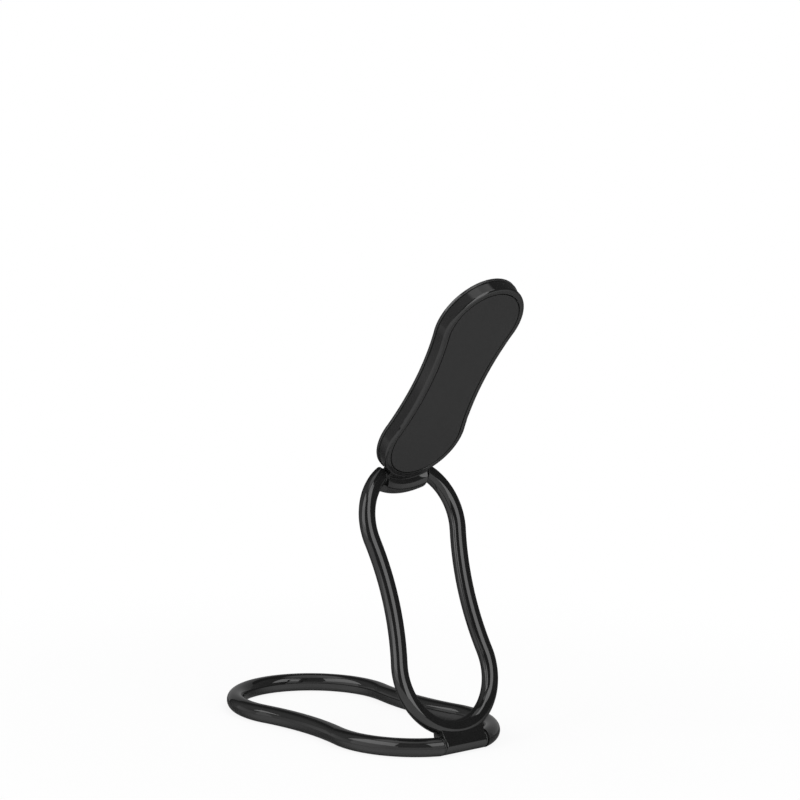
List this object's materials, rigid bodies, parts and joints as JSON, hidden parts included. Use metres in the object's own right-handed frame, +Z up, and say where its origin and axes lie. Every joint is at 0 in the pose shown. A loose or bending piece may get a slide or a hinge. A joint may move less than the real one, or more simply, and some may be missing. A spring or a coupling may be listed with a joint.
{
  "type": "magnetic phone ring holder",
  "caption": "Folding magnetic ring holder for a phone: a waisted plate and nested wire loops on friction hinges, opened out as a stand.",
  "frame": {"origin": "middle of the part's box at the surface the lower ring lies on", "axes": "+Z up from that surface, +Y from the lower hinge towards the lower ring's free end, +X along the hinge axes; the face panel looks towards -Y and down"},
  "size_m": [0.037, 0.0742, 0.0966],
  "materials": {
    "ring_black": "gloss",
    "housing_black": "gloss",
    "base_black": "satin",
    "panel_black": "matte",
    "pin_steel": "ground",
    "washer_steel": "spring temper",
    "bush_black": "moulded",
    "yoke_steel": "rolled",
    "magnet_nickel": "plated",
    "pad_foam": "matte",
    "film_clear_grey": "matte"
  },
  "bodies": {
    "lower_loop_body": {"lower_ring": "ring_black", "lower_pin_left": "pin_steel", "lower_pin_right": "pin_steel", "lower_washer_left": "washer_steel", "lower_washer_right": "washer_steel"},
    "upper_loop_body": {"upper_ring": "ring_black", "lower_bush_left": "bush_black", "lower_bush_right": "bush_black", "upper_pin_left": "pin_steel", "upper_pin_right": "pin_steel", "upper_washer_left": "washer_steel", "upper_washer_right": "washer_steel"},
    "plate_body": {"housing": "housing_black", "base_plate": "base_black", "adhesive_pad": "pad_foam", "yoke_plate": "yoke_steel", "magnet_lower": "magnet_nickel", "magnet_waist": "magnet_nickel", "magnet_upper": "magnet_nickel", "panel_film": "film_clear_grey", "face_panel": "panel_black", "upper_bush_left": "bush_black", "upper_bush_right": "bush_black"}
  },
  "joints": [
    {"name": "lower_hinge", "type": "hinge", "parent": "lower_loop_body", "child": "upper_loop_body", "pos_m": [0, -0.02776, 0.0019], "axis": [1, 0, 0], "range_deg": [-69.8, 110.2]},
    {"name": "upper_hinge", "type": "hinge", "parent": "upper_loop_body", "child": "plate_body", "pos_m": [0, -0.00846, 0.05436], "axis": [1, 0, 0], "range_deg": [-5.7, 126.3]}
  ]
}
